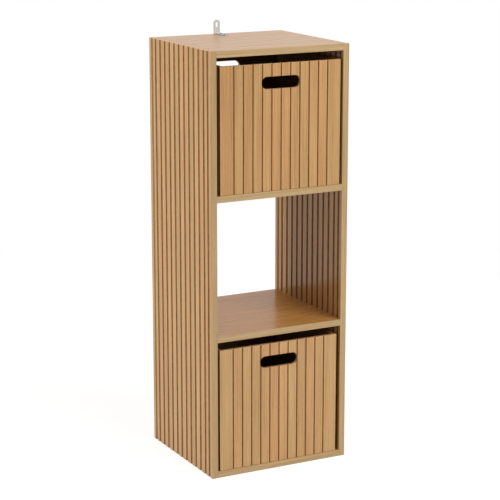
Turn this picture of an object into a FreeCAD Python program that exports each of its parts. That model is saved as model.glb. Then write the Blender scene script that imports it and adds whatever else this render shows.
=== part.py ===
import FreeCAD, Part
import os

# Tall shelf cabinet with three compartments, grooved sides and two pull-out boxes.
# Millimetres. The origin is the middle of the footprint on the floor, +Z is up,
# +X is to the right seen from the front, and the front faces -Y.

# Cabinet
cabinet_width = 350.0
cabinet_depth = 320.0
cabinet_height = 980.0
board_thickness = 15.0
edge_band_thickness = 1.0
edge_band_chamfer = 0.4
level_names = ("bottom_panel", "lower_shelf", "upper_shelf", "top_panel")

# Grooves that divide both faces of a side board into upright slats
side_edge_strip = 15.0
side_end_slat = 20.0
side_inner_slats = 10
side_groove_width = 8.0
side_groove_depth = 1.8
side_groove_chamfer = 0.6

# Hidden joints between the level boards and the sides
cam_slat_index = 1
dowel_slat_index = 3
cam_radius = 7.5
cam_setback = 24.0
cam_cover = 3.0
cam_recess_length = 8.0
cam_recess_width = 1.6
cam_recess_depth = 2.4
bolt_thread_radius = 3.2
bolt_collar_radius = 3.8
bolt_collar_length = 2.0
bolt_shank_radius = 1.8
bolt_head_radius = 2.7
bolt_head_length = 2.6
bolt_bore_radius = 4.2
blind_skin = 2.0
dowel_radius = 4.0
dowel_reach = 20.0
dowel_chamfer = 0.8

# Steel angle that holds the cabinet to a wall
bracket_width = 16.0
bracket_thickness = 2.0
bracket_leg = 33.0
bracket_foot = 52.0
bracket_bend_radius = 1.0
bracket_slot_width = 6.0
bracket_slot_length = 12.0
bracket_slot_margin = 5.5
bracket_hole_radius = 2.2
bracket_hole_pitch = 20.0
screw_radius = 1.9
screw_length = 12.0
screw_tip_length = 3.0
screw_tip_radius = 0.5
screw_head_radius = 3.6
screw_head_height = 2.0
screw_crown_radius = 2.2
screw_recess_length = 3.6
screw_recess_width = 0.9
screw_recess_depth = 1.2

# Pull-out boxes: the level board that carries each one, and how far it stands off centre
upper_box_board = "upper_shelf"
lower_box_board = "bottom_panel"
upper_box_sideways = 1.5
lower_box_sideways = -1.5
box_side_gap = 7.5
box_headroom = 19.6
box_front_recess = 2.0
box_back_room = 13.0
box_wall = 9.0
box_edge_chamfer = 0.8
box_end_slat = 34.0
box_inner_slats = 10
box_groove_width = 3.0
box_groove_depth = 2.5
box_groove_chamfer = 0.3
handle_slats = 4
handle_height = 27.5
handle_top_margin = 29.0
handle_chamfer = 1.0
box_floor_thickness = 6.0
box_floor_lift = 8.0
box_floor_housing = 3.0
box_dowel_radius = 3.0
box_dowel_reach = 16.0
box_dowel_skin = 4.0
box_dowel_height_shares = (0.16, 0.42, 0.68)

# Fits
fit_clearance = 0.1
place_tolerance = 0.01
end_clearance = 0.5
cut_overrun = 1.0

inner_width = cabinet_width - 2 * board_thickness
front_y = -cabinet_depth / 2
back_y = cabinet_depth / 2
board_front_y = front_y + edge_band_thickness
board_back_y = back_y - edge_band_thickness
compartments = len(level_names) - 1
compartment_height = (cabinet_height - len(level_names) * board_thickness) / compartments
level_step = compartment_height + board_thickness
top_index = len(level_names) - 1

side_first_groove = front_y + side_edge_strip
side_last_groove = back_y - side_edge_strip
side_pitch = (cabinet_depth - 2 * side_edge_strip - 2 * side_end_slat) / side_inner_slats
side_inner_grooves = [
    side_first_groove + side_end_slat + side_pitch * number for number in range(side_inner_slats + 1)
]
side_grooves = [side_first_groove] + side_inner_grooves + [side_last_groove]
slat_centres = [(near + far) / 2 for near, far in zip(side_grooves, side_grooves[1:])]
cam_ys = (slat_centres[cam_slat_index], slat_centres[-1 - cam_slat_index])
dowel_ys = (slat_centres[dowel_slat_index], slat_centres[-1 - dowel_slat_index])
side_hole_depth = board_thickness - side_groove_depth - blind_skin
cam_height = board_thickness / 2 + cam_cover

box_width = inner_width - 2 * box_side_gap
box_height = compartment_height - box_headroom
box_front_y = front_y + box_front_recess
box_back_y = back_y - box_back_room
box_pitch = (box_width - 2 * box_end_slat) / box_inner_slats
box_grooves = [
    -box_width / 2 + box_end_slat + box_pitch * number for number in range(box_inner_slats + 1)
]
box_dowel_depth = box_wall - box_dowel_skin


def vector(x, y, z):
    return FreeCAD.Vector(x, y, z)


def block(x_range, y_range, z_range):
    """A box between two values on each axis, given in either order."""
    lows = [min(pair) for pair in (x_range, y_range, z_range)]
    sizes = [abs(pair[1] - pair[0]) for pair in (x_range, y_range, z_range)]
    return Part.makeBox(*sizes, vector(*lows))


def prism(points, direction):
    """A solid swept from a closed outline of points along a direction."""
    outline = Part.makePolygon(list(points) + [points[0]])
    return Part.Face(outline).extrude(direction)


def rod(start, direction, length, radius):
    """A plain cylinder from a start point along a direction."""
    return Part.makeCylinder(radius, length, start, direction)


def chamfered_rod(start, direction, length, radius, chamfer):
    """A cylinder whose two ends are chamfered, as on a dowel."""
    tip = radius - chamfer
    lead = Part.makeCone(tip, radius, chamfer, start, direction)
    middle = rod(start + direction * chamfer, direction, length - 2 * chamfer, radius)
    tail = Part.makeCone(radius, tip, chamfer, start + direction * (length - chamfer), direction)
    return lead.fuse([middle, tail]).removeSplitter()


def groove_points(centres, width, depth, chamfer):
    """Pairs of place along a face and depth below it, for grooves with eased lips."""
    points = []
    for centre in centres:
        wall = width / 2
        lip = wall + chamfer
        points += [(centre - lip, 0), (centre - wall, chamfer), (centre - wall, depth)]
        points += [(centre + wall, depth), (centre + wall, chamfer), (centre + lip, 0)]
    return points


def level_floor(level):
    """The height of the underside of a level board."""
    return level * level_step


def inner_grooves(side):
    """Cutters for the inner grooves, which stop at each level board so that its end seats flat."""
    inner_x = side * inner_width / 2
    clear_x = inner_x - side * cut_overrun
    cutters = []
    for centre in side_grooves:
        grooves = groove_points([centre], side_groove_width, side_groove_depth, side_groove_chamfer)
        lip = side_groove_width / 2 + side_groove_chamfer
        for level in range(compartments):
            low_z = level_floor(level) + board_thickness
            outline = [vector(inner_x + side * depth, y, low_z) for y, depth in grooves]
            outline += [vector(clear_x, centre + lip, low_z), vector(clear_x, centre - lip, low_z)]
            cutters.append(prism(outline, vector(0, 0, compartment_height)))
    return cutters


def side_panel(side):
    """A side board, grooved on both faces and drilled for bolts and dowels on the inner one."""
    outer_x = side * cabinet_width / 2
    inner_x = side * inner_width / 2
    grooves = groove_points(side_grooves, side_groove_width, side_groove_depth, side_groove_chamfer)
    outline = [vector(outer_x, board_front_y, 0)]
    outline += [vector(outer_x - side * depth, y, 0) for y, depth in grooves]
    outline += [vector(outer_x, board_back_y, 0), vector(inner_x, board_back_y, 0)]
    outline += [vector(inner_x, board_front_y, 0)]
    board = prism(outline, vector(0, 0, cabinet_height))
    holes = inner_grooves(side)
    for level in range(len(level_names)):
        axis_z = level_floor(level) + board_thickness / 2
        for y in cam_ys:
            start = vector(inner_x, y, axis_z)
            holes.append(rod(start, vector(side, 0, 0), side_hole_depth, bolt_thread_radius + fit_clearance))
        for y in dowel_ys:
            start = vector(inner_x, y, axis_z)
            holes.append(rod(start, vector(side, 0, 0), side_hole_depth, dowel_radius + fit_clearance))
    return board.cut(holes)


def level_panel(level):
    """A level board with cam holes in its underside and bolt and dowel bores in its ends."""
    floor_z = level_floor(level)
    axis_z = floor_z + board_thickness / 2
    half = inner_width / 2
    z_range = (floor_z, floor_z + board_thickness)
    board = block((-half, half), (board_front_y, board_back_y), z_range)
    holes = []
    for side in (-1, 1):
        inward = vector(-side, 0, 0)
        for y in cam_ys:
            centre = vector(side * (half - cam_setback), y, floor_z)
            holes.append(rod(centre, vector(0, 0, 1), cam_height + end_clearance, cam_radius + fit_clearance))
            holes.append(rod(vector(side * half, y, axis_z), inward, cam_setback, bolt_bore_radius))
        for y in dowel_ys:
            start = vector(side * half, y, axis_z)
            holes.append(rod(start, inward, dowel_reach + end_clearance, dowel_radius + fit_clearance))
    if level == top_index:
        holes += [rod(vector(0, y, cabinet_height), vector(0, 0, -1), screw_length + end_clearance,
                      screw_radius + fit_clearance) for y in bracket_hole_ys()]
    return board.cut(holes)


def edge_strip(corner_a, corner_b, edge_y, outward, length):
    """A glued strip on a board edge, its two outer corners eased, swept along its length."""
    across = corner_b - corner_a
    unit = across * (1 / across.Length)
    seat_y = edge_y - outward * edge_band_thickness
    shoulder_y = edge_y - outward * edge_band_chamfer
    ease = unit * edge_band_chamfer
    outline = [
        corner_a + vector(0, seat_y, 0),
        corner_a + vector(0, shoulder_y, 0),
        corner_a + ease + vector(0, edge_y, 0),
        corner_b - ease + vector(0, edge_y, 0),
        corner_b + vector(0, shoulder_y, 0),
        corner_b + vector(0, seat_y, 0),
    ]
    return prism(outline, length)


def side_edge_bands(side):
    corner_a = vector(side * inner_width / 2, 0, 0)
    corner_b = vector(side * cabinet_width / 2, 0, 0)
    length = vector(0, 0, cabinet_height)
    front = edge_strip(corner_a, corner_b, front_y, -1, length)
    back = edge_strip(corner_a, corner_b, back_y, 1, length)
    return Part.makeCompound([front, back])


def level_edge_bands(level):
    floor_z = level_floor(level)
    corner_a = vector(-inner_width / 2, 0, floor_z)
    corner_b = vector(-inner_width / 2, 0, floor_z + board_thickness)
    length = vector(inner_width, 0, 0)
    front = edge_strip(corner_a, corner_b, front_y, -1, length)
    back = edge_strip(corner_a, corner_b, back_y, 1, length)
    return Part.makeCompound([front, back])


def cam_lock(side, y, floor_z):
    """A turning cam: a disc with a driver recess below and a pocket for the bolt head above."""
    centre_x = side * (inner_width / 2 - cam_setback)
    top_z = floor_z + cam_height
    centre = vector(centre_x, y, floor_z)
    disc = rod(centre, vector(0, 0, 1), cam_height, cam_radius)
    head_half = bolt_head_radius + fit_clearance
    shank_half = bolt_shank_radius + fit_clearance
    axis_z = floor_z + board_thickness / 2
    above = top_z + cut_overrun
    pocket_far_x = centre_x - side * fit_clearance
    pocket_near_x = centre_x + side * (bolt_head_length + fit_clearance)
    pocket = block((pocket_far_x, pocket_near_x), (y - head_half, y + head_half),
                   (axis_z - head_half, above))
    mouth_x = centre_x + side * (cam_radius + cut_overrun)
    mouth = block((centre_x, mouth_x), (y - shank_half, y + shank_half), (axis_z - shank_half, above))
    recess_z = (floor_z - cut_overrun, floor_z + cam_recess_depth)
    long_half = cam_recess_length / 2
    short_half = cam_recess_width / 2
    bar_x = block((centre_x - long_half, centre_x + long_half), (y - short_half, y + short_half), recess_z)
    bar_y = block((centre_x - short_half, centre_x + short_half), (y - long_half, y + long_half), recess_z)
    return disc.cut([pocket, mouth, bar_x, bar_y])


def cam_bolt(side, y, axis_z):
    """A bolt screwed into the side board, with a collar on its face and a head in the cam."""
    face = vector(side * inner_width / 2, y, axis_z)
    inward = vector(-side, 0, 0)
    thread_length = side_hole_depth - end_clearance
    thread = rod(face, vector(side, 0, 0), thread_length, bolt_thread_radius)
    collar = rod(face, inward, bolt_collar_length, bolt_collar_radius)
    shank = rod(face, inward, cam_setback, bolt_shank_radius)
    head_start = face + inward * (cam_setback - bolt_head_length)
    head = rod(head_start, inward, bolt_head_length, bolt_head_radius)
    return thread.fuse([collar, shank, head]).removeSplitter()


def cabinet_dowel(side, y, axis_z):
    seat = side_hole_depth - end_clearance
    start = vector(side * (inner_width / 2 + seat), y, axis_z)
    return chamfered_rod(start, vector(-side, 0, 0), seat + dowel_reach, dowel_radius, dowel_chamfer)


def joint_places(ys):
    """Side, depth position and axis height of every joint at the ends of the level boards."""
    places = []
    for level in range(len(level_names)):
        for side in (-1, 1):
            places += [(side, y, level_floor(level)) for y in ys]
    return places


def slot_outline(centre, across, along, width, length):
    """A slot outline: two straight edges joined by half circles, across and along as unit vectors."""
    radius = width / 2
    straight = length / 2 - radius
    near = centre - along * straight
    far = centre + along * straight
    edges = [
        Part.LineSegment(near + across * radius, far + across * radius),
        Part.Arc(far + across * radius, far + along * radius, far - across * radius),
        Part.LineSegment(far - across * radius, near - across * radius),
        Part.Arc(near - across * radius, near - along * radius, near + across * radius),
    ]
    return Part.Wire([edge.toShape() for edge in edges])


def bracket_hole_ys():
    """Depth positions of the two screw holes along the bracket's foot."""
    first = back_y - bracket_foot + bracket_width / 2
    return (first, first + bracket_hole_pitch)


def round_ended_plate(root, along, across, normal):
    """A strip of steel with one square end at its root and one round end, as long as along."""
    radius = bracket_width / 2
    length = along.Length
    unit = along * (1 / length)
    shoulder = root + unit * (length - radius)
    edges = [
        Part.LineSegment(root - across * radius, shoulder - across * radius),
        Part.Arc(shoulder - across * radius, root + along, shoulder + across * radius),
        Part.LineSegment(shoulder + across * radius, root + across * radius),
        Part.LineSegment(root + across * radius, root - across * radius),
    ]
    outline = Part.Wire([edge.toShape() for edge in edges])
    return Part.Face(outline).extrude(normal * bracket_thickness)


def edges_across(shape, y, z):
    """The straight edges of a shape that run across it at a given depth and height."""
    found = []
    for edge in shape.Edges:
        places = [abs(corner.Y - y) + abs(corner.Z - z) for corner in edge.Vertexes]
        if max(places) < place_tolerance:
            found.append(edge)
    return found


def wall_bracket():
    """A bent steel strip: a foot on the top board and a slotted leg flush with the cabinet's back."""
    across = vector(1, 0, 0)
    root = vector(0, back_y, cabinet_height)
    foot = round_ended_plate(root, vector(0, -bracket_foot, 0), across, vector(0, 0, 1))
    leg = round_ended_plate(root, vector(0, 0, bracket_leg), across, vector(0, -1, 0))
    angle = foot.fuse(leg).removeSplitter()
    outer_bend = edges_across(angle, back_y, cabinet_height)
    angle = angle.makeFillet(bracket_bend_radius + bracket_thickness, outer_bend)
    inner_bend = edges_across(angle, back_y - bracket_thickness, cabinet_height + bracket_thickness)
    angle = angle.makeFillet(bracket_bend_radius, inner_bend)
    slot_z = cabinet_height + bracket_leg - bracket_slot_margin - bracket_slot_length / 2
    slot_start = vector(0, back_y + cut_overrun, slot_z)
    slot = slot_outline(slot_start, across, vector(0, 0, 1), bracket_slot_width, bracket_slot_length)
    slot_cut = Part.Face(slot).extrude(vector(0, -bracket_thickness - 2 * cut_overrun, 0))
    holes = []
    for y in bracket_hole_ys():
        start = vector(0, y, cabinet_height - cut_overrun)
        holes.append(rod(start, vector(0, 0, 1), bracket_thickness + 2 * cut_overrun, bracket_hole_radius))
    return angle.cut([slot_cut] + holes)


def bracket_screw(y):
    """A pan-head wood screw through the bracket's foot into the top board."""
    seat_z = cabinet_height + bracket_thickness
    top_z = seat_z + screw_head_height
    down = vector(0, 0, -1)
    body_length = bracket_thickness + screw_length - screw_tip_length
    body = rod(vector(0, y, seat_z), down, body_length, screw_radius)
    tip = Part.makeCone(screw_radius, screw_tip_radius, screw_tip_length,
                        vector(0, y, seat_z - body_length), down)
    head = Part.makeCone(screw_head_radius, screw_crown_radius, screw_head_height, vector(0, y, seat_z))
    screw = body.fuse([tip, head]).removeSplitter()
    recess_z = (top_z - screw_recess_depth, top_z + cut_overrun)
    long_half = screw_recess_length / 2
    short_half = screw_recess_width / 2
    bar_x = block((-long_half, long_half), (y - short_half, y + short_half), recess_z)
    bar_y = block((-short_half, short_half), (y - long_half, y + long_half), recess_z)
    return screw.cut([bar_x, bar_y])


def box_dowel_places(base_z):
    """Corner side, end and height of the dowels that join a box's walls."""
    heights = [base_z + box_height * share for share in box_dowel_height_shares]
    return [(side, end, z) for side in (-1, 1) for end in (-1, 1) for z in heights]


def box_end_panel(end, base_z):
    """A box front (end -1) or back (end 1): grooved outside, with a handle slot and a floor groove."""
    outer_y = box_front_y if end < 0 else box_back_y
    inner_y = outer_y - end * box_wall
    half = box_width / 2
    grooves = groove_points(box_grooves, box_groove_width, box_groove_depth, box_groove_chamfer)
    shoulder_y = outer_y - end * box_edge_chamfer
    outline = [vector(-half, inner_y, base_z), vector(-half, shoulder_y, base_z)]
    outline += [vector(-half + box_edge_chamfer, outer_y, base_z)]
    outline += [vector(x, outer_y - end * depth, base_z) for x, depth in grooves]
    outline += [vector(half - box_edge_chamfer, outer_y, base_z)]
    outline += [vector(half, shoulder_y, base_z), vector(half, inner_y, base_z)]
    board = prism(outline, vector(0, 0, box_height))

    handle_length = handle_slats * box_pitch + box_groove_width
    handle_z = base_z + box_height - handle_top_margin - handle_height / 2
    across = vector(0, 0, 1)
    along = vector(1, 0, 0)
    slot = slot_outline(vector(0, outer_y + end * cut_overrun, handle_z), across, along,
                        handle_height, handle_length)
    cuts = [Part.Face(slot).extrude(vector(0, -end * (box_wall + 2 * cut_overrun), 0))]
    for face_y, inward in ((outer_y, -end), (inner_y, end)):
        mouth = slot_outline(vector(0, face_y, handle_z), across, along,
                             handle_height + 2 * handle_chamfer, handle_length + 2 * handle_chamfer)
        throat = slot_outline(vector(0, face_y + inward * handle_chamfer, handle_z), across, along,
                              handle_height, handle_length)
        cuts.append(Part.makeLoft([mouth, throat], True, True))

    floor_half = box_inner_half_width() + box_floor_housing
    floor_z = base_z + box_floor_lift
    housing_y = (inner_y - end * cut_overrun, inner_y + end * box_floor_housing)
    housing_z = (floor_z - fit_clearance, floor_z + box_floor_thickness + fit_clearance)
    cuts.append(block((-floor_half, floor_half), housing_y, housing_z))
    for side, place_end, z in box_dowel_places(base_z):
        if place_end == end:
            start = vector(side * (half - box_wall / 2), inner_y, z)
            cuts.append(rod(start, vector(0, end, 0), box_dowel_depth, box_dowel_radius + fit_clearance))
    return board.cut(cuts)


def box_inner_half_width():
    return box_width / 2 - box_wall


def box_side_wall(side, base_z):
    """A box side board between front and back, with a groove for the floor and bores in its ends."""
    outer_x = side * box_width / 2
    inner_x = side * box_inner_half_width()
    wall_front_y = box_front_y + box_wall
    wall_back_y = box_back_y - box_wall
    z_range = (base_z, base_z + box_height)
    board = block((outer_x, inner_x), (wall_front_y, wall_back_y), z_range)
    floor_z = base_z + box_floor_lift
    housing_x = (inner_x - side * cut_overrun, inner_x + side * box_floor_housing)
    housing_y = (wall_front_y - cut_overrun, wall_back_y + cut_overrun)
    housing_z = (floor_z - fit_clearance, floor_z + box_floor_thickness + fit_clearance)
    cuts = [block(housing_x, housing_y, housing_z)]
    for place_side, end, z in box_dowel_places(base_z):
        if place_side == side:
            end_y = wall_front_y if end < 0 else wall_back_y
            start = vector(side * (box_width / 2 - box_wall / 2), end_y, z)
            bore_length = box_dowel_reach + end_clearance
            cuts.append(rod(start, vector(0, -end, 0), bore_length, box_dowel_radius + fit_clearance))
    return board.cut(cuts)


def box_floor(base_z):
    """The floor board, a little smaller than the grooves that hold it."""
    half = box_inner_half_width() + box_floor_housing - fit_clearance
    reach = box_wall - box_floor_housing + fit_clearance
    floor_z = base_z + box_floor_lift
    return block((-half, half), (box_front_y + reach, box_back_y - reach),
                 (floor_z, floor_z + box_floor_thickness))


def box_dowel(side, end, z):
    inner_y = box_front_y + box_wall if end < 0 else box_back_y - box_wall
    seat = box_dowel_depth - end_clearance
    start = vector(side * (box_width / 2 - box_wall / 2), inner_y + end * seat, z)
    return chamfered_rod(start, vector(0, -end, 0), seat + box_dowel_reach, box_dowel_radius, dowel_chamfer)


def cabinet_nodes():
    nodes = {}
    for side, name in ((-1, "left_side"), (1, "right_side")):
        nodes[name + "_panel"] = side_panel(side)
        nodes[name + "_edge_bands"] = side_edge_bands(side)
    for level, name in enumerate(level_names):
        nodes[name] = level_panel(level)
        nodes[name + "_edge_bands"] = level_edge_bands(level)
    cams = [cam_lock(side, y, floor_z) for side, y, floor_z in joint_places(cam_ys)]
    bolts = [cam_bolt(side, y, floor_z + board_thickness / 2) for side, y, floor_z in joint_places(cam_ys)]
    dowels = [
        cabinet_dowel(side, y, floor_z + board_thickness / 2) for side, y, floor_z in joint_places(dowel_ys)
    ]
    nodes["cam_locks"] = Part.makeCompound(cams)
    nodes["cam_bolts"] = Part.makeCompound(bolts)
    nodes["cabinet_dowels"] = Part.makeCompound(dowels)
    nodes["wall_bracket"] = wall_bracket()
    nodes["bracket_screws"] = Part.makeCompound([bracket_screw(y) for y in bracket_hole_ys()])
    return nodes


def box_nodes(name, board, sideways):
    base_z = level_floor(level_names.index(board)) + board_thickness
    pieces = {
        name + "_front": box_end_panel(-1, base_z),
        name + "_back": box_end_panel(1, base_z),
        name + "_left_wall": box_side_wall(-1, base_z),
        name + "_right_wall": box_side_wall(1, base_z),
        name + "_floor": box_floor(base_z),
        name + "_dowels": Part.makeCompound(
            [box_dowel(side, end, z) for side, end, z in box_dowel_places(base_z)]
        ),
    }
    for piece in pieces.values():
        piece.translate(vector(sideways, 0, 0))
    return pieces


os.makedirs("parts", exist_ok=True)
all_nodes = cabinet_nodes()
all_nodes.update(box_nodes("upper_box", upper_box_board, upper_box_sideways))
all_nodes.update(box_nodes("lower_box", lower_box_board, lower_box_sideways))
for node_name, shape in all_nodes.items():
    shape.exportStep("parts/" + node_name + ".step")
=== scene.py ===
import math

import bmesh
import bpy
from mathutils import Matrix, Vector


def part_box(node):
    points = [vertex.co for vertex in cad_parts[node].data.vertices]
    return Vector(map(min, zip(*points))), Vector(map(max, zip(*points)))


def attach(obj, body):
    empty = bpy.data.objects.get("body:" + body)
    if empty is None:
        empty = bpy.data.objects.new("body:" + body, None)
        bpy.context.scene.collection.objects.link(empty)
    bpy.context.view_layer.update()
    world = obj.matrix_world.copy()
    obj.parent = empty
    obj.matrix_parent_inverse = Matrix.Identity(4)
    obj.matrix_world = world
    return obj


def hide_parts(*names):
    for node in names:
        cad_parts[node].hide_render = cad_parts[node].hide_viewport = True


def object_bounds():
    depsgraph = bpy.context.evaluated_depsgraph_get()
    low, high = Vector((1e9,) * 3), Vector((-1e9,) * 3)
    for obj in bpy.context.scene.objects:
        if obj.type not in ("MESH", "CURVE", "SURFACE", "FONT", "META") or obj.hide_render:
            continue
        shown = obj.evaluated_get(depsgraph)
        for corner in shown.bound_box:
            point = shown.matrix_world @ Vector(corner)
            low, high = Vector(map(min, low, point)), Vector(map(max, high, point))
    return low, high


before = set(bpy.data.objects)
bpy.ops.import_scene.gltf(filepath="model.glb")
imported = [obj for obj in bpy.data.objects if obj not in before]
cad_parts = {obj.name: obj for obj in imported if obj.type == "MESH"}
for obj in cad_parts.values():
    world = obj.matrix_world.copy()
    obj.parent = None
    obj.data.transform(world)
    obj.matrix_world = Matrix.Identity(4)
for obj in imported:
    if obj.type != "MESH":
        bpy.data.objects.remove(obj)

cad_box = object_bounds()


# Side boards: two full-height chipboards wrapped in oak-print foil. A router cuts upright
# grooves through the foil of both faces, down to the brown core, and leaves a row of slats.
# The core in the grooves is darkened further as painted shade for the grooves' depth.
# On the inner face the grooves stop at each level board, so that its end seats flat.
side_groove_count = 13
side_groove_pitch = 0.025
side_last_groove = 0.145
side_groove_width = 0.0080
side_groove_depth = 0.0018
side_lip_radius = 0.0007
side_slat_seed = 4
lip_segments = 2
lip_angle = math.radians(40)
through_cut_share = 1.1
outer_face = -1.0
inner_face = 1.0
level_board_names = ("bottom_panel", "lower_shelf", "upper_shelf", "top_panel")


def feed(tree, socket, source):
    """Gives a socket another node's output or a plain value, which for a colour is three numbers."""
    if isinstance(source, bpy.types.NodeSocket):
        tree.links.new(source, socket)
    elif socket.type == "RGBA":
        socket.default_value = (*source, 1.0)
    else:
        socket.default_value = source


def node_in(tree, kind, sources=None, **settings):
    """Adds a node to a tree, sets its properties and feeds its inputs by name."""
    node = tree.nodes.new(kind)
    for setting, value in settings.items():
        setattr(node, setting, value)
    for socket_name, source in (sources or {}).items():
        feed(tree, node.inputs[socket_name], source)
    return node


def math_in(tree, operation, *terms):
    """Adds a Math node and returns its result."""
    node = node_in(tree, "ShaderNodeMath", operation=operation)
    for socket, term in zip(node.inputs, terms):
        feed(tree, socket, term)
    return node.outputs[0]


def named_tree(name, kind, inputs, outputs):
    """Starts a node tree with named inputs and outputs, and returns it with its inputs' sockets."""
    tree = bpy.data.node_groups.new(name, kind)
    for direction, sockets in (("INPUT", inputs), ("OUTPUT", outputs)):
        for socket_name, socket_kind in sockets.items():
            socket_type = "NodeSocket" + socket_kind
            tree.interface.new_socket(socket_name, in_out=direction, socket_type=socket_type)
    return tree, node_in(tree, "NodeGroupInput").outputs


def end_in_finishes(tree, board, finishes):
    """Ends a board's tree with real geometry and its finishes, each laid where its mask is one."""
    mask_threshold = 0.5
    board = node_in(tree, "GeometryNodeRealizeInstances", {"Geometry": board}).outputs[0]
    for finish, mask in finishes:
        laid_here = math_in(tree, "GREATER_THAN", mask, mask_threshold)
        board = node_in(tree, "GeometryNodeSetMaterial", {
            "Geometry": board, "Selection": laid_here, "Material": finish,
        }).outputs[0]
    node_in(tree, "NodeGroupOutput", {"Board": board})


def groove_cutting_tree():
    """Cuts rows of straight upright grooves into one face of a board that looks along Y."""
    tree, sizes = named_tree("cut_grooves", "GeometryNodeTree", {
        "Board": "Geometry", "Board Thickness": "Float", "Face": "Float",
        "Groove Count": "Int", "Groove Pitch": "Float", "Last Groove": "Float",
        "Groove Width": "Float", "Groove Depth": "Float", "Run Count": "Int",
        "Run Length": "Float", "Run Step": "Float", "First Run": "Float", "Finish": "Material",
    }, {"Board": "Geometry"})
    cutter_size = node_in(tree, "ShaderNodeCombineXYZ", {
        "X": sizes["Groove Width"],
        "Y": math_in(tree, "MULTIPLY", sizes["Groove Depth"], 2.0),
        "Z": sizes["Run Length"],
    })
    cutter = node_in(tree, "GeometryNodeMeshCube", {"Size": cutter_size.outputs[0]})
    first_run = node_in(tree, "ShaderNodeCombineXYZ", {"Z": sizes["First Run"]})
    run_step = node_in(tree, "ShaderNodeCombineXYZ", {"Z": sizes["Run Step"]})
    runs = node_in(tree, "GeometryNodeMeshLine", {
        "Count": sizes["Run Count"],
        "Start Location": first_run.outputs[0],
        "Offset": run_step.outputs[0],
    }, mode="OFFSET")
    column = node_in(tree, "GeometryNodeInstanceOnPoints", {
        "Points": runs.outputs[0], "Instance": cutter.outputs["Mesh"],
    })

    middle = math_in(tree, "MULTIPLY", math_in(tree, "SUBTRACT", sizes["Groove Count"], 1.0), 0.5)
    number = node_in(tree, "GeometryNodeInputIndex").outputs[0]
    even_place = math_in(tree, "MULTIPLY", math_in(tree, "SUBTRACT", number, middle), sizes["Groove Pitch"])
    first_groove = math_in(tree, "MULTIPLY", sizes["Last Groove"], -1.0)
    place = math_in(tree, "MINIMUM", even_place, sizes["Last Groove"])
    half_thickness = math_in(tree, "MULTIPLY", sizes["Board Thickness"], 0.5)
    groove_place = node_in(tree, "ShaderNodeCombineXYZ", {
        "X": math_in(tree, "MAXIMUM", place, first_groove),
        "Y": math_in(tree, "MULTIPLY", half_thickness, sizes["Face"]),
    })
    line = node_in(tree, "GeometryNodeMeshLine", {"Count": sizes["Groove Count"]}, mode="OFFSET")
    row = node_in(tree, "GeometryNodeSetPosition", {
        "Geometry": line.outputs[0], "Position": groove_place.outputs[0],
    })
    cutters = node_in(tree, "GeometryNodeInstanceOnPoints", {
        "Points": row.outputs[0], "Instance": column.outputs[0],
    })
    real_cutters = node_in(tree, "GeometryNodeRealizeInstances", {"Geometry": cutters.outputs[0]})
    routed = node_in(tree, "GeometryNodeMeshBoolean", {
        "Mesh 1": sizes["Board"], "Mesh 2": real_cutters.outputs[0],
    }, operation="DIFFERENCE", solver="EXACT")
    end_in_finishes(tree, routed.outputs["Mesh"], [(sizes["Finish"], 1.0)])
    return tree


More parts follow.
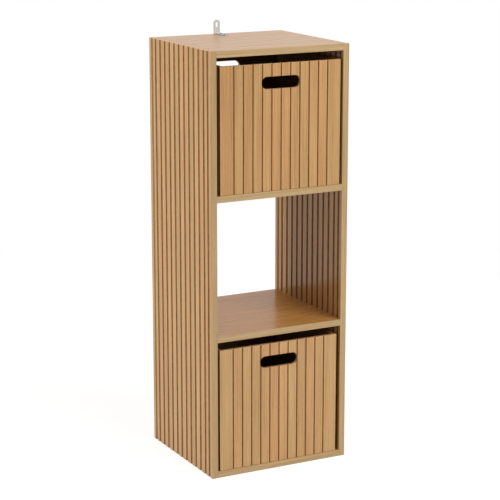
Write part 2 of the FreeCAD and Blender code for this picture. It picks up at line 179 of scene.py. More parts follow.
def slat_marking_tree():
    """Stores a random tone for each slat, and finishes the grooves and the sawn edges, both darkened in part
    as painted shade, and the top end.
    """
    tree, sizes = named_tree("mark_slats", "GeometryNodeTree", {
        "Board": "Geometry", "Board Thickness": "Float", "Groove Pitch": "Float",
        "Last Groove": "Float", "Groove Depth": "Float", "Lip": "Float", "Seed": "Int",
        "Finish": "Material", "Groove Finish": "Material", "Sawn Shade Finish": "Material",
        "End Finish": "Material",
    }, {"Board": "Geometry"})
    outer_slat_code = 100.0
    face_code = 1000.0
    level_facing = 0.3
    sawn_facing = 0.95
    position = node_in(tree, "GeometryNodeInputPosition").outputs[0]
    normal = node_in(tree, "GeometryNodeInputNormal").outputs[0]
    spot = node_in(tree, "ShaderNodeSeparateXYZ", {"Vector": position}).outputs
    facing = node_in(tree, "ShaderNodeSeparateXYZ", {"Vector": normal}).outputs

    across = math_in(tree, "ABSOLUTE", spot["X"])
    in_rows = math_in(tree, "LESS_THAN", across, sizes["Last Groove"])
    slat = math_in(tree, "FLOOR", math_in(tree, "DIVIDE", spot["X"], sizes["Groove Pitch"]))
    outer_slat = math_in(tree, "MULTIPLY", math_in(tree, "SIGN", spot["X"]), outer_slat_code)
    face = math_in(tree, "MULTIPLY", math_in(tree, "SIGN", spot["Y"]), face_code)
    slat = math_in(tree, "MULTIPLY", slat, in_rows)
    outer_slat = math_in(tree, "MULTIPLY", outer_slat, math_in(tree, "SUBTRACT", 1.0, in_rows))
    number = math_in(tree, "ADD", math_in(tree, "ADD", slat, outer_slat), face)
    tone = node_in(tree, "FunctionNodeRandomValue", {"ID": number, "Seed": sizes["Seed"]}, data_type="FLOAT")
    toned = node_in(tree, "GeometryNodeStoreNamedAttribute", {
        "Geometry": sizes["Board"], "Name": "slat_tone", "Value": tone.outputs[1],
    }, data_type="FLOAT", domain="FACE")

    half_thickness = math_in(tree, "MULTIPLY", sizes["Board Thickness"], 0.5)
    depth = math_in(tree, "SUBTRACT", half_thickness, math_in(tree, "ABSOLUTE", spot["Y"]))
    groove_floor = math_in(tree, "ADD", sizes["Groove Depth"], sizes["Lip"])
    below_lip = math_in(tree, "GREATER_THAN", depth, sizes["Lip"])
    above_floor = math_in(tree, "LESS_THAN", depth, groove_floor)
    row_edge = math_in(tree, "ADD", sizes["Last Groove"], sizes["Groove Depth"])
    among_grooves = math_in(tree, "LESS_THAN", across, row_edge)
    upright = math_in(tree, "LESS_THAN", math_in(tree, "ABSOLUTE", facing["Z"]), level_facing)
    in_depth = math_in(tree, "MULTIPLY", below_lip, above_floor)
    in_groove = math_in(tree, "MULTIPLY", in_depth, math_in(tree, "MULTIPLY", among_grooves, upright))
    sideways = math_in(tree, "GREATER_THAN", math_in(tree, "ABSOLUTE", facing["X"]), sawn_facing)
    sawn_shaded_edge = math_in(tree, "MULTIPLY", sideways, math_in(tree, "SUBTRACT", 1.0, among_grooves))
    top_end = math_in(tree, "GREATER_THAN", facing["Z"], level_facing)
    end_in_finishes(tree, toned.outputs[0], [
        (sizes["Finish"], 1.0), (sizes["Groove Finish"], in_groove),
        (sizes["Sawn Shade Finish"], sawn_shaded_edge), (sizes["End Finish"], top_end),
    ])
    return tree


def tree_modifier(piece, tree, values):
    """Adds a node tree to a piece, each input set by its socket's identifier."""
    modifier = piece.modifiers.new(tree.name, "NODES")
    modifier.node_group = tree
    for item in tree.interface.items_tree:
        if item.in_out == "INPUT" and item.name in values:
            modifier[item.identifier] = values[item.name]


def through_grooves(height):
    """The runs of a row of grooves that go right through a board, from its foot to its top."""
    return {"Face": outer_face, "Run Count": 1, "Run Length": height * through_cut_share,
            "Run Step": height, "First Run": height / 2}


def eased_edges(piece, radius):
    """Rounds a board's sharp edges, as sanding and wrapping leave them."""
    bevel = piece.modifiers.new("eased_edges", "BEVEL")
    bevel.width = radius
    bevel.segments = lip_segments
    bevel.limit_method = "ANGLE"
    bevel.angle_limit = lip_angle


def upright_board(name, width, thickness, height):
    """A board before it is worked: a closed block that stands on the origin and looks along Y."""
    mesh = bpy.data.meshes.new(name)
    form = bmesh.new()
    place = Matrix.Translation((0.0, 0.0, height / 2)) @ Matrix.Diagonal((width, thickness, height, 1.0))
    bmesh.ops.create_cube(form, size=1.0, matrix=place)
    form.to_mesh(mesh)
    form.free()
    piece = bpy.data.objects.new(name, mesh)
    bpy.context.scene.collection.objects.link(piece)
    return piece


def finished(piece, low, high, quarter_turns):
    """Makes a worked board a plain mesh, turned and stood in its place between two corners."""
    bpy.context.view_layer.update()
    result = piece.evaluated_get(bpy.context.evaluated_depsgraph_get())
    mesh = bpy.data.meshes.new_from_object(result)
    centre = (low + high) / 2
    turn = Matrix.Rotation(math.radians(90) * quarter_turns, 4, "Z")
    mesh.transform(Matrix.Translation((centre.x, centre.y, low.z)) @ turn)
    piece.modifiers.clear()
    piece.data = mesh


side_oak = {"dark": (0.347, 0.181, 0.054), "light": (0.530, 0.314, 0.121)}
# The sides' top ends take the top board's lighter colour, painted light for the light on top.
side_end_oak_painted_light = {"dark": (0.480, 0.237, 0.057), "light": (0.755, 0.410, 0.124)}
# Groove floors: the brown core, darkened as painted shade for the depth of the grooves.
routed_oak_with_painted_shade = {"dark": (0.166, 0.079, 0.022), "light": (0.310, 0.162, 0.058)}
# Sawn edges: a near-black brown, partly painted shade for the narrow gaps beside the boxes.
sawn_oak_painted_shade = {"dark": (0.090, 0.034, 0.006), "light": (0.190, 0.078, 0.018)}
slat_foil = {"roughness": 0.16, "gloss": 0.36, "slatted": True}
flat_foil = {"roughness": 0.27, "gloss": 0.25, "slatted": False}
cut_gloss = 0.05
side_print = 1.0
side_end_print = 2.0
upright_grain = (0.0, 0.0, 0.0)
level_grain = (0.0, math.radians(90), 0.0)
depth_grain = (math.radians(90), 0.0, 0.0)
relief_height = 0.0001


def vector_math_in(tree, operation, *terms):
    """Adds a Vector Math node and returns its outputs."""
    node = node_in(tree, "ShaderNodeVectorMath", operation=operation)
    for socket, term in zip(node.inputs, terms):
        feed(tree, socket, term)
    return node.outputs


def noise_in(tree, place, scale, detail=2.0, roughness=0.5):
    """Adds a noise and returns its value."""
    return node_in(tree, "ShaderNodeTexNoise", {
        "Vector": place, "Scale": scale, "Detail": detail, "Roughness": roughness,
    }).outputs["Fac"]


def mixed_colour(tree, share, first, second, **settings):
    """Adds a mix of two colours and returns the result."""
    mix = node_in(tree, "ShaderNodeMix", data_type="RGBA", clamp_factor=True, **settings)
    sockets = {socket.identifier: socket for socket in mix.inputs}
    feed(tree, sockets["Factor_Float"], share)
    feed(tree, sockets["A_Color"], first)
    feed(tree, sockets["B_Color"], second)
    return {socket.identifier: socket for socket in mix.outputs}["Result_Color"]


def object_place(tree):
    """The place on the object, for a pattern to follow."""
    return node_in(tree, "ShaderNodeTexCoord").outputs["Object"]


def fine_relief(tree, shader, height, strength):
    """Gives a shader a relief a tenth of a millimetre high."""
    bump = node_in(tree, "ShaderNodeBump", {
        "Height": height, "Strength": strength, "Distance": relief_height,
    })
    feed(tree, shader.inputs["Normal"], bump.outputs[0])


def new_finish(name):
    """Starts a material and returns it with its tree and its shader."""
    material = bpy.data.materials.new(name)
    material.use_nodes = True
    return material, material.node_tree, material.node_tree.nodes["Principled BSDF"]


def oak_grain_group():
    """Oak print: slow figure, fine fibres and short dark pores, all drawn out along Z."""
    print_stride = {"X": 1.37, "Y": 2.11, "Z": 3.73}
    pore_start = 0.60
    pore_full = 0.72
    group, inputs = named_tree("oak_grain", "ShaderNodeTree", {"Place": "Vector", "Print": "Float"},
                               {"Figure": "Float", "Fibre": "Float", "Pores": "Float"})
    away = node_in(group, "ShaderNodeCombineXYZ", {
        axis: math_in(group, "MULTIPLY", inputs["Print"], stride) for axis, stride in print_stride.items()
    })
    moved = vector_math_in(group, "ADD", inputs["Place"], away.outputs[0])["Vector"]

    def drawn_out(along, scale, detail, roughness):
        stretched = vector_math_in(group, "MULTIPLY", moved, (1.0, 1.0, along))["Vector"]
        return noise_in(group, stretched, scale, detail, roughness)

    specks = drawn_out(along=0.035, scale=1300.0, detail=1.0, roughness=0.5)
    pores = node_in(group, "ShaderNodeMapRange", {
        "Value": specks, "From Min": pore_start, "From Max": pore_full,
    }, interpolation_type="SMOOTHSTEP")
    node_in(group, "NodeGroupOutput", {
        "Figure": drawn_out(along=0.05, scale=70.0, detail=3.0, roughness=0.55),
        "Fibre": drawn_out(along=0.012, scale=420.0, detail=4.0, roughness=0.6),
        "Pores": pores.outputs[0],
    })
    return group


def edge_wear_and_highlight_group():
    """A mask along a board's sharp edges, for rubbed foil and a painted edge highlight, broken up where the
    foil is less rubbed.
    """
    flat_facing = 0.995
    edge_facing = 0.90
    patch_scale = 60.0
    group, inputs = named_tree("edge_wear_and_highlight", "ShaderNodeTree", {"Place": "Vector", "Reach": "Float"},
                               {"Wear And Highlight": "Float"})
    rounded = node_in(group, "ShaderNodeBevel", {"Radius": inputs["Reach"]}, samples=4)
    normal = node_in(group, "ShaderNodeNewGeometry").outputs["Normal"]
    likeness = vector_math_in(group, "DOT_PRODUCT", rounded.outputs[0], normal)["Value"]
    edge = node_in(group, "ShaderNodeMapRange", {
        "Value": likeness, "From Min": flat_facing, "From Max": edge_facing,
    })
    patches = noise_in(group, inputs["Place"], patch_scale)
    node_in(group, "NodeGroupOutput", {"Wear And Highlight": math_in(group, "MULTIPLY", edge.outputs[0], patches)})
    return group


def fibre_speckle_group():
    """Pressed wood fibre: fine pale and dark specks over a slow mottle."""
    contrast = 1.4
    group, inputs = named_tree("fibre_speckle", "ShaderNodeTree", {"Place": "Vector"}, {"Speckle": "Float"})
    specks = noise_in(group, inputs["Place"], scale=1400.0)
    mottle = noise_in(group, inputs["Place"], scale=90.0, detail=3.0)
    both = math_in(group, "ADD", specks, mottle)
    speckle = math_in(group, "MULTIPLY_ADD", both, contrast, 0.5 - contrast)
    node_in(group, "NodeGroupOutput", {"Speckle": speckle})
    return group


oak_grain = oak_grain_group()
edge_wear_and_highlight = edge_wear_and_highlight_group()
fibre_speckle = fibre_speckle_group()


def fibre_colour(tree, place, dark, light):
    """Adds the speckle of pressed fibre to a material and returns its colour."""
    speckle = node_in(tree, "ShaderNodeGroup", {"Place": place}, node_tree=fibre_speckle)
    return mixed_colour(tree, speckle.outputs["Speckle"], dark, light)


def bare_board(name, dark, light, gloss):
    """Cut or unlaid board: brown pressed fibre with a dull, slightly furry face."""
    fuzz_scale = 1800.0
    fuzz_relief = 0.3
    least_roughness = 0.7
    roughness_spread = 0.2
    material, tree, shader = new_finish(name)
    place = object_place(tree)
    fuzz = noise_in(tree, place, fuzz_scale)
    feed(tree, shader.inputs["Base Color"], fibre_colour(tree, place, dark, light))
    feed(tree, shader.inputs["Specular IOR Level"], gloss)
    roughness = math_in(tree, "MULTIPLY_ADD", fuzz, roughness_spread, least_roughness)
    feed(tree, shader.inputs["Roughness"], roughness)
    fine_relief(tree, shader, fuzz, fuzz_relief)
    return material


def oak_foil(name, dark, light, grain_turn, print_part, roughness, gloss, slatted):
    """Oak-print foil: grain along the board, a tone and a hue for each slat, pores, and rubbed edges that
    are lightened partly as a painted highlight.
    """
    figure_contrast = 0.9
    fibre_contrast = 1.7
    slat_contrast = 0.24
    slat_hue_turns = 7.3
    pink_slat = (1.03, 0.97, 0.96)
    yellow_slat = (0.98, 1.02, 1.02)
    pore_tint = (0.45, 0.36, 0.28)
    pore_strength = 0.35
    # Edge colour: rubbed foil, lightened also as a painted highlight on the rounded lips.
    worn_oak_and_highlight = (0.700, 0.440, 0.200)
    wear_and_highlight_reach = 0.0008
    wear_and_highlight_strength = 0.45
    fibre_roughness = 0.10
    pore_roughness = 0.12
    fibre_height = 0.4
    grain_relief = 0.25
    material, tree, shader = new_finish(name)
    place = object_place(tree)
    turned = node_in(tree, "ShaderNodeMapping", {"Vector": place, "Rotation": grain_turn})
    grain = node_in(tree, "ShaderNodeGroup", {
        "Place": turned.outputs[0], "Print": print_part,
    }, node_tree=oak_grain).outputs
    wear_and_highlight = node_in(tree, "ShaderNodeGroup", {"Place": place, "Reach": wear_and_highlight_reach}, node_tree=edge_wear_and_highlight)

    figure = math_in(tree, "MULTIPLY_ADD", grain["Figure"], figure_contrast, -figure_contrast / 2)
    fibre = math_in(tree, "MULTIPLY_ADD", grain["Fibre"], fibre_contrast, -fibre_contrast / 2)
    tone = math_in(tree, "ADD", math_in(tree, "ADD", figure, fibre), 0.5)
    if slatted:
        slat = node_in(tree, "ShaderNodeAttribute", attribute_name="slat_tone").outputs["Fac"]
        slat_shift = math_in(tree, "MULTIPLY_ADD", slat, slat_contrast, -slat_contrast / 2)
        hue_share = math_in(tree, "FRACT", math_in(tree, "MULTIPLY", slat, slat_hue_turns))
        hue = mixed_colour(tree, hue_share, pink_slat, yellow_slat)
        printed = mixed_colour(tree, math_in(tree, "ADD", tone, slat_shift), dark, light)
        printed = mixed_colour(tree, 1.0, printed, hue, blend_type="MULTIPLY")
    else:
        printed = mixed_colour(tree, tone, dark, light)
    pore_share = math_in(tree, "MULTIPLY", grain["Pores"], pore_strength)
    pored = mixed_colour(tree, pore_share, printed, pore_tint, blend_type="MULTIPLY")
    worn_and_highlight_share = math_in(tree, "MULTIPLY", wear_and_highlight.outputs["Wear And Highlight"], wear_and_highlight_strength)
    feed(tree, shader.inputs["Base Color"], mixed_colour(tree, worn_and_highlight_share, pored, worn_oak_and_highlight))

    smoothest = roughness - fibre_roughness / 2
    fibre_sheen = math_in(tree, "MULTIPLY_ADD", grain["Fibre"], fibre_roughness, smoothest)
    pored_roughness = math_in(tree, "MULTIPLY_ADD", grain["Pores"], pore_roughness, fibre_sheen)
    feed(tree, shader.inputs["Roughness"], pored_roughness)
    feed(tree, shader.inputs["Specular IOR Level"], gloss)
    fibre_ridges = math_in(tree, "MULTIPLY", grain["Fibre"], fibre_height)
    fine_relief(tree, shader, math_in(tree, "SUBTRACT", fibre_ridges, grain["Pores"]), grain_relief)
    return material


cut_grooves = groove_cutting_tree()
mark_slats = slat_marking_tree()
routed_core_with_painted_shade = bare_board("routed_core_with_painted_shade", **routed_oak_with_painted_shade, gloss=cut_gloss)
sawn_core_painted_shade = bare_board("sawn_core_painted_shade", **sawn_oak_painted_shade, gloss=cut_gloss)
side_foil = oak_foil("oak_foil_side", grain_turn=upright_grain, print_part=side_print,
                     **side_oak, **slat_foil)
side_end_foil = oak_foil("oak_foil_side_end", grain_turn=depth_grain, print_part=side_end_print,
                         **side_end_oak_painted_light, **flat_foil)
first_level_low, first_level_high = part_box(level_board_names[0])
second_level_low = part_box(level_board_names[1])[0]
compartment_height = second_level_low.z - first_level_high.z
side_grooves = {
    "Groove Count": side_groove_count, "Groove Pitch": side_groove_pitch,
    "Last Groove": side_last_groove, "Groove Width": side_groove_width,
    "Groove Depth": side_groove_depth, "Lip": side_lip_radius, "Seed": side_slat_seed,
    "Finish": side_foil, "Groove Finish": routed_core_with_painted_shade, "Sawn Shade Finish": sawn_core_painted_shade,
    "End Finish": side_end_foil,
}
compartment_grooves = {
    "Face": inner_face, "Run Count": len(level_board_names) - 1, "Run Length": compartment_height,
    "Run Step": second_level_low.z - first_level_low.z,
    "First Run": first_level_high.z + compartment_height / 2,
}
for side_node, quarter_turns in (("left_side_panel", -1), ("right_side_panel", 1)):
    low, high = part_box(side_node)
    thickness = high.x - low.x
    height = high.z - low.z
    board = upright_board(side_node + "_slats", high.y - low.y, thickness, height)
    side_grooves["Board Thickness"] = thickness
    tree_modifier(board, cut_grooves, {**side_grooves, **through_grooves(height)})
    tree_modifier(board, cut_grooves, {**side_grooves, **compartment_grooves})
    eased_edges(board, side_lip_radius)
    tree_modifier(board, mark_slats, side_grooves)
    finished(board, low, high, quarter_turns)
    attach(board, "cabinet")
    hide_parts(side_node)


# Level boards: the bottom, two shelves and the top, plain foil-faced chipboard cut to fit
# between the sides and drilled at the ends for cams and dowels. The print runs from left to
# right. The top is a shade lighter than the boards below it, as painted light for the light
# that falls on top.
shelf_oak = {"dark": (0.445, 0.212, 0.048), "light": (0.700, 0.366, 0.104)}
top_oak_painted_light = {"dark": (0.480, 0.237, 0.057), "light": (0.755, 0.410, 0.124)}
shelf_gloss = 0.20
first_level_print = 5.0


def dress(node_name, finish):
    """Gives a carried-over solid its finish."""
    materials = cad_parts[node_name].data.materials
    materials.clear()
    materials.append(finish)


for level, level_node in enumerate(level_board_names):
    if level_node == "top_panel":
        level_look = {**flat_foil, **top_oak_painted_light}
    else:
        level_look = {**flat_foil, **shelf_oak, "gloss": shelf_gloss}
    level_foil = oak_foil("oak_foil_" + level_node, grain_turn=level_grain,
                          print_part=first_level_print + level, **level_look)
    dress(level_node, level_foil)


# Edge bands: thin oak-print strips glued over the cut front and back edge of every board,
# with their long corners chamfered. They are a little greyer than the foil, and the bands on
# the left-hand board are a shade darker, as painted shade against the light from the left.
band_dark = (0.332, 0.218, 0.105)
band_light = (0.493, 0.346, 0.181)
left_band_painted_shade = 0.93
side_band_print = 11.0
level_band_print = 12.0
level_band = oak_foil("oak_band_level", band_dark, band_light, level_grain, level_band_print, **flat_foil)
for side_name, shade in (("left_side", left_band_painted_shade), ("right_side", 1.0)):
    shaded_dark = [shade * channel for channel in band_dark]
    shaded_light = [shade * channel for channel in band_light]
    side_band = oak_foil("oak_band_" + side_name, shaded_dark, shaded_light, upright_grain,
                         side_band_print, **flat_foil)
    dress(side_name + "_edge_bands", side_band)
for level_node in level_board_names:
    dress(level_node + "_edge_bands", level_band)


# Cam locks, cam bolts and dowels: the hidden joints at the ends of the level boards. The
# cams are die-cast zinc, the bolts plated steel and the dowels turned beech.
cam_zinc = {"colour": (0.46, 0.47, 0.48), "roughness": 0.50, "grain_scale": 1800.0}
bolt_steel = {"colour": (0.66, 0.65, 0.62), "roughness": 0.35, "grain_scale": 900.0}
beech_wood = {"dark": (0.52, 0.36, 0.22), "light": (0.68, 0.50, 0.33)}
beech_print = 15.0


def brushed_metal(name, colour, roughness, grain_scale):
    """Plain fastener metal with a mottled plating and fine scratches."""
    dark_share = 0.82
    light_share = 1.12
    mottle_detail = 4.0
    roughness_spread = 0.2
    scratch_relief = 0.2
    material, tree, shader = new_finish(name)
    mottle = noise_in(tree, object_place(tree), grain_scale, mottle_detail)
    dark = [channel * dark_share for channel in colour]
    light = [min(1.0, channel * light_share) for channel in colour]
    feed(tree, shader.inputs["Base Color"], mixed_colour(tree, mottle, dark, light))
    feed(tree, shader.inputs["Metallic"], 1.0)
    mottled = math_in(tree, "MULTIPLY_ADD", mottle, roughness_spread, roughness - roughness_spread / 2)
    feed(tree, shader.inputs["Roughness"], mottled)
    fine_relief(tree, shader, mottle, scratch_relief)
    return material


beech = oak_foil("beech_dowel_wood", grain_turn=level_grain, print_part=beech_print,
                 **beech_wood, **flat_foil)
dress("cam_locks", brushed_metal("cast_zinc_cam", **cam_zinc))
dress("cam_bolts", brushed_metal("plated_steel_fastener", **bolt_steel))
dress("cabinet_dowels", beech)


# Wall bracket: a short strip of zinc-plated steel bent to an angle. Its foot is screwed to
# the top board at the middle of the back edge, and its slotted leg stands up for a wall screw.
bracket_zinc = {"colour": (0.48, 0.49, 0.48), "roughness": 0.55, "grain_scale": 500.0}
screw_steel = {"colour": (0.26, 0.26, 0.25), "roughness": 0.50, "grain_scale": 900.0}
dress("wall_bracket", brushed_metal("zinc_plated_bracket_steel", **bracket_zinc))
dress("bracket_screws", brushed_metal("bracket_screw_steel", **screw_steel))


# Box fronts and backs: thinner boards with foil on the outer face and on the top and bottom
# ends, raw sawn sides and a bare inner face, routed outside into twelve slats. The sawn sides
# and the inner face are a dark brown that is partly painted shade for the gaps beside and
# inside the boxes. A round-ended hand slot is sawn through near the top.
box_groove_count = 11
box_groove_pitch = 0.0237
box_last_groove = 0.1185
box_groove_width = 0.0030
box_groove_depth = 0.0025
box_edge_radius = 0.0008
box_slat_seed = 40
box_print = 21.0
hand_slot_length = 0.0978
hand_slot_height = 0.0275
hand_slot_top_margin = 0.0290
hand_slot_ease = 0.0010
hand_slot_steps = 16
box_names = ("upper_box", "lower_box")
# The lower box is a little lighter than the upper one, as painted light against the shade it gets lower
# down.
box_oak_with_painted_light = {
    "upper_box": {"dark": (0.338, 0.177, 0.063), "light": (0.530, 0.309, 0.126)},
    "lower_box": {"dark": (0.364, 0.199, 0.077), "light": (0.571, 0.347, 0.154)},
}
# Bare board inside the boxes: a brown fibreboard colour, darkened as painted shade for the dark inside.
raw_board_with_painted_shade = {"dark": (0.110, 0.060, 0.028), "light": (0.220, 0.130, 0.066)}
raw_board_roughness = 0.9


def hand_slot_cutter(name, thickness, centre_z):
    """A closed cutter with a round-ended outline that flares at both faces of the board."""
    radius = hand_slot_height / 2
    straight = hand_slot_length / 2 - radius
    outer = thickness / 2 + hand_slot_ease
    throat = thickness / 2 - hand_slot_ease
    flared = radius + 2 * hand_slot_ease
    form = bmesh.new()
    rings = []
    for depth, ring_radius in ((-outer, flared), (-throat, radius), (throat, radius), (outer, flared)):
        ring = []
        for end in (1, -1):
            for step in range(hand_slot_steps + 1):
                angle = math.pi * step / hand_slot_steps - math.pi / 2
                x = end * (straight + ring_radius * math.cos(angle))
                z = end * ring_radius * math.sin(angle)
                ring.append(form.verts.new((x, depth, centre_z + z)))
        rings.append(ring)
    count = len(rings[0])
    for near, far in zip(rings, rings[1:]):
        for i in range(count):
            form.faces.new((near[i], near[(i + 1) % count], far[(i + 1) % count], far[i]))
    form.faces.new(rings[0])
    form.faces.new(rings[-1])
    bmesh.ops.recalc_face_normals(form, faces=form.faces)
    mesh = bpy.data.meshes.new(name)
    form.to_mesh(mesh)
    form.free()
    cutter = bpy.data.objects.new(name, mesh)
    bpy.context.scene.collection.objects.link(cutter)
    return cutter


def saw_hand_slot(board, thickness, height):
    """Saws the hand slot through a board and returns the cutter, which stays until the board is finished."""
    centre_z = height - hand_slot_top_margin - hand_slot_height / 2
    cutter = hand_slot_cutter(board.name + "_slot_cutter", thickness, centre_z)
    saw = board.modifiers.new("hand_slot", "BOOLEAN")
    saw.operation = "DIFFERENCE"
    saw.solver = "EXACT"
    saw.object = cutter
    return cutter


def box_inside_group():
    """A mask that is one on what lies between a box's inner corners, and above the high one."""
    group, inputs = named_tree("box_inside", "ShaderNodeTree", {
        "Place": "Vector", "Low Corner": "Vector", "High Corner": "Vector",
    }, {"Inside": "Float"})
    place = node_in(group, "ShaderNodeSeparateXYZ", {"Vector": inputs["Place"]}).outputs
    low = node_in(group, "ShaderNodeSeparateXYZ", {"Vector": inputs["Low Corner"]}).outputs
    high = node_in(group, "ShaderNodeSeparateXYZ", {"Vector": inputs["High Corner"]}).outputs
    inside = 1.0
    for axis in ("X", "Y"):
        past_low = math_in(group, "GREATER_THAN", place[axis], low[axis])
        short_of_high = math_in(group, "LESS_THAN", place[axis], high[axis])
        inside = math_in(group, "MULTIPLY", inside, math_in(group, "MULTIPLY", past_low, short_of_high))
    on_top = math_in(group, "GREATER_THAN", place["Z"], high["Z"])
    node_in(group, "NodeGroupOutput", {"Inside": math_in(group, "MAXIMUM", inside, on_top)})
    return group


box_inside = box_inside_group()


def leave_inside_bare_and_shaded(foil, box_name, bare_above):
    """Takes the foil off the faces that look into a box, and off what lies above a given height, and lays
    there a bare-board colour darkened as painted shade for the dark inside of the box.
    """
    hair = 0.0003
    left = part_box(box_name + "_left_wall")[1].x
    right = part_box(box_name + "_right_wall")[0].x
    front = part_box(box_name + "_front")[1].y
    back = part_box(box_name + "_back")[0].y
    low = (left - hair, front - hair, 0.0)
    high = (right + hair, back + hair, bare_above - hair)
    tree = foil.node_tree
    shader = tree.nodes["Principled BSDF"]
    printed = shader.inputs["Base Color"].links[0].from_socket
    foil_roughness = shader.inputs["Roughness"].links[0].from_socket
    place = object_place(tree)
    inside = node_in(tree, "ShaderNodeGroup", {
        "Place": place, "Low Corner": low, "High Corner": high,
    }, node_tree=box_inside).outputs["Inside"]
    raw_and_shaded_colour = fibre_colour(tree, place, **raw_board_with_painted_shade)
    feed(tree, shader.inputs["Base Color"], mixed_colour(tree, inside, printed, raw_and_shaded_colour))
    raw_roughness = math_in(tree, "MULTIPLY", inside, raw_board_roughness)
    feed(tree, shader.inputs["Roughness"], math_in(tree, "MAXIMUM", foil_roughness, raw_roughness))


for box_number, box_name in enumerate(box_names):
    box_foil = oak_foil("oak_foil_" + box_name, grain_turn=upright_grain,
                        print_part=box_print + box_number, **box_oak_with_painted_light[box_name], **slat_foil)
    leave_inside_bare_and_shaded(box_foil, box_name, bare_above=cad_box[1][2])
    for end_number, (end_name, quarter_turns) in enumerate((("front", 0), ("back", 2))):
        node = box_name + "_" + end_name
        low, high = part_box(node)
        thickness = high.y - low.y
        height = high.z - low.z
        board = upright_board(node + "_slats", high.x - low.x, thickness, height)
        box_grooves = {
            "Board Thickness": thickness, "Groove Count": box_groove_count,
            "Groove Pitch": box_groove_pitch, "Last Groove": box_last_groove,
            "Groove Width": box_groove_width, "Groove Depth": box_groove_depth,
            "Lip": box_edge_radius, "Seed": box_slat_seed + 2 * box_number + end_number,
            "Finish": box_foil, "Groove Finish": routed_core_with_painted_shade, "Sawn Shade Finish": sawn_core_painted_shade,
            "End Finish": box_foil,
        }
        tree_modifier(board, cut_grooves, {**box_grooves, **through_grooves(height)})
        eased_edges(board, box_edge_radius)
        cutter = saw_hand_slot(board, thickness, height)
        tree_modifier(board, mark_slats, box_grooves)
        finished(board, low, high, quarter_turns)
        bpy.data.objects.remove(cutter)
        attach(board, box_name)
        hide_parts(node)


# Box walls, floors and dowels: plain boards doweled between front and back, foiled outside
# and bare inside. The thin hardboard floor sits in a groove that runs round all four walls.
# The bare inside, the wall tops and the floor are a dark brown that is partly painted shade.
box_wall_print = 31.0
hardboard_gloss = 0.25
hardboard = bare_board("hardboard_floor", **raw_board_with_painted_shade, gloss=hardboard_gloss)
for box_number, box_name in enumerate(box_names):
    wall_foil = oak_foil("oak_foil_walls_" + box_name, grain_turn=upright_grain,
                         print_part=box_wall_print + box_number, **box_oak_with_painted_light[box_name], **flat_foil)
    leave_inside_bare_and_shaded(wall_foil, box_name, bare_above=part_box(box_name + "_left_wall")[1].z)
    dress(box_name + "_left_wall", wall_foil)
    dress(box_name + "_right_wall", wall_foil)
    dress(box_name + "_floor", hardboard)
    dress(box_name + "_dowels", beech)


# Studio: a pale floor that fades to white, a white surround with a warm tint, and three soft
# lamps: one for the left side, and a low and a high one in front, placed so that little of their
# light falls on the inside of the right-hand board. Only the high one is mirrored in gloss.
ambient_strength = 0.44
ambient_tint = (1.0, 0.86, 0.70)
seen_white = (1.0, 1.0, 1.0)
floor_shade = (0.82, 0.89, 0.97)
floor_roughness = 0.9
floor_reach = 20.0
floor_drop = 0.0002
floor_white_share = 0.65
floor_white = 1.29
floor_fade_start = 0.7
floor_fade_end = 2.2
studio_aim = Vector((0.0, 0.0, 0.5))
soft_lamps = {
    "left_softbox": {"place": (-5.2, 0.6, 1.1), "size": 2.0, "watts": 172.0, "in_gloss": False},
    "low_front_softbox": {"place": (0.6, -5.6, 0.4), "size": 1.6, "watts": 80.0, "in_gloss": False},
    "high_front_softbox": {"place": (1.9, -4.5, 3.6), "size": 3.6, "watts": 184.0, "in_gloss": True},
}


def seen_directly(tree):
    """One where a ray comes from the camera, a reflection or glass, and nought elsewhere."""
    path = node_in(tree, "ShaderNodeLightPath").outputs
    seen = math_in(tree, "MAXIMUM", path["Is Camera Ray"], path["Is Glossy Ray"])
    return math_in(tree, "MAXIMUM", seen, path["Is Transmission Ray"])


def from_to(tree, share, start, end):
    """A value that goes from start to end as a share goes from nought to one."""
    return math_in(tree, "MULTIPLY_ADD", share, end - start, start)


world = bpy.data.worlds.new("white_surround")
bpy.context.scene.world = world
world.use_nodes = True
surround_tree = world.node_tree
surround = surround_tree.nodes["Background"]
surround_seen = seen_directly(surround_tree)
surround_colour = mixed_colour(surround_tree, surround_seen, ambient_tint, seen_white)
surround_strength = from_to(surround_tree, surround_seen, ambient_strength, 1.0)
feed(surround_tree, surround.inputs["Color"], surround_colour)
feed(surround_tree, surround.inputs["Strength"], surround_strength)

floor_paint, floor_tree, floor_shader = new_finish("pale_floor")
feed(floor_tree, floor_shader.inputs["Base Color"], floor_shade)
feed(floor_tree, floor_shader.inputs["Roughness"], floor_roughness)
feed(floor_tree, floor_shader.inputs["Specular IOR Level"], 0.0)
fade = node_in(floor_tree, "ShaderNodeMapRange", {
    "Value": vector_math_in(floor_tree, "LENGTH", object_place(floor_tree))["Value"],
    "From Min": floor_fade_start, "From Max": floor_fade_end,
}, interpolation_type="SMOOTHSTEP").outputs[0]
white_strength = from_to(floor_tree, fade, floor_white, 1.0)
white_share = from_to(floor_tree, fade, floor_white_share, 1.0)
seen_white_share = math_in(floor_tree, "MULTIPLY", seen_directly(floor_tree), white_share)
white_glow = node_in(floor_tree, "ShaderNodeEmission", {"Strength": white_strength})
floor_blend = node_in(floor_tree, "ShaderNodeMixShader")
feed(floor_tree, floor_blend.inputs[0], seen_white_share)
feed(floor_tree, floor_blend.inputs[1], floor_shader.outputs[0])
feed(floor_tree, floor_blend.inputs[2], white_glow.outputs[0])
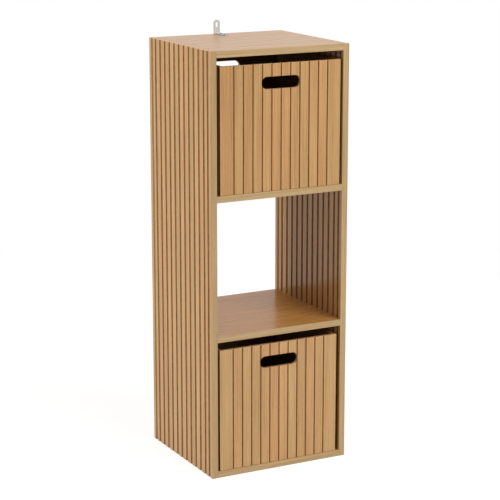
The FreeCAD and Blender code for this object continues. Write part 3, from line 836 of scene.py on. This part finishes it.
feed(floor_tree, floor_tree.nodes["Material Output"].inputs["Surface"], floor_blend.outputs[0])

floor_mesh = bpy.data.meshes.new("studio_floor")
floor_plan = ((-floor_reach, -floor_reach), (floor_reach, -floor_reach),
              (floor_reach, floor_reach), (-floor_reach, floor_reach))
floor_mesh.from_pydata([(x, y, -floor_drop) for x, y in floor_plan], [], [(0, 1, 2, 3)])
floor_mesh.materials.append(floor_paint)
studio_floor = bpy.data.objects.new("studio_floor", floor_mesh)
bpy.context.scene.collection.objects.link(studio_floor)

for lamp_name, lamp in soft_lamps.items():
    softbox = bpy.data.lights.new(lamp_name, "AREA")
    softbox.energy = lamp["watts"]
    softbox.size = lamp["size"]
    stand = bpy.data.objects.new(lamp_name, softbox)
    stand.location = lamp["place"]
    stand.visible_glossy = lamp["in_gloss"]
    stand.rotation_euler = (studio_aim - Vector(lamp["place"])).to_track_quat("-Z", "Y").to_euler()
    bpy.context.scene.collection.objects.link(stand)


# Camera: at the photograph's viewing angle, above and to the left of the front, with the
# whole cabinet in a square picture.
view_azimuth = math.radians(-27.622)
view_elevation = math.radians(13.237)
view_distance = 4.060
view_aim_height = 0.490
focal_pixels = 1725.8
image_pixels = 500
frame_offset_right = 0.00504
frame_offset_down = 0.00284
backward = Vector((math.sin(view_azimuth) * math.cos(view_elevation),
                   -math.cos(view_azimuth) * math.cos(view_elevation), math.sin(view_elevation)))
camera_data = bpy.data.cameras.new("photo_view")
camera_data.lens = camera_data.sensor_width * focal_pixels / image_pixels
camera = bpy.data.objects.new("photo_view", camera_data)
turn = (-backward).to_track_quat("-Z", "Y")
rightward = turn @ Vector((1.0, 0.0, 0.0))
upward = turn @ Vector((0.0, 1.0, 0.0))
aim = Vector((0.0, 0.0, view_aim_height)) + rightward * frame_offset_right - upward * frame_offset_down
camera.location = aim + backward * view_distance
camera.rotation_euler = turn.to_euler()
bpy.context.scene.collection.objects.link(camera)
bpy.context.scene.camera = camera
bpy.context.scene.view_settings.view_transform = "Standard"
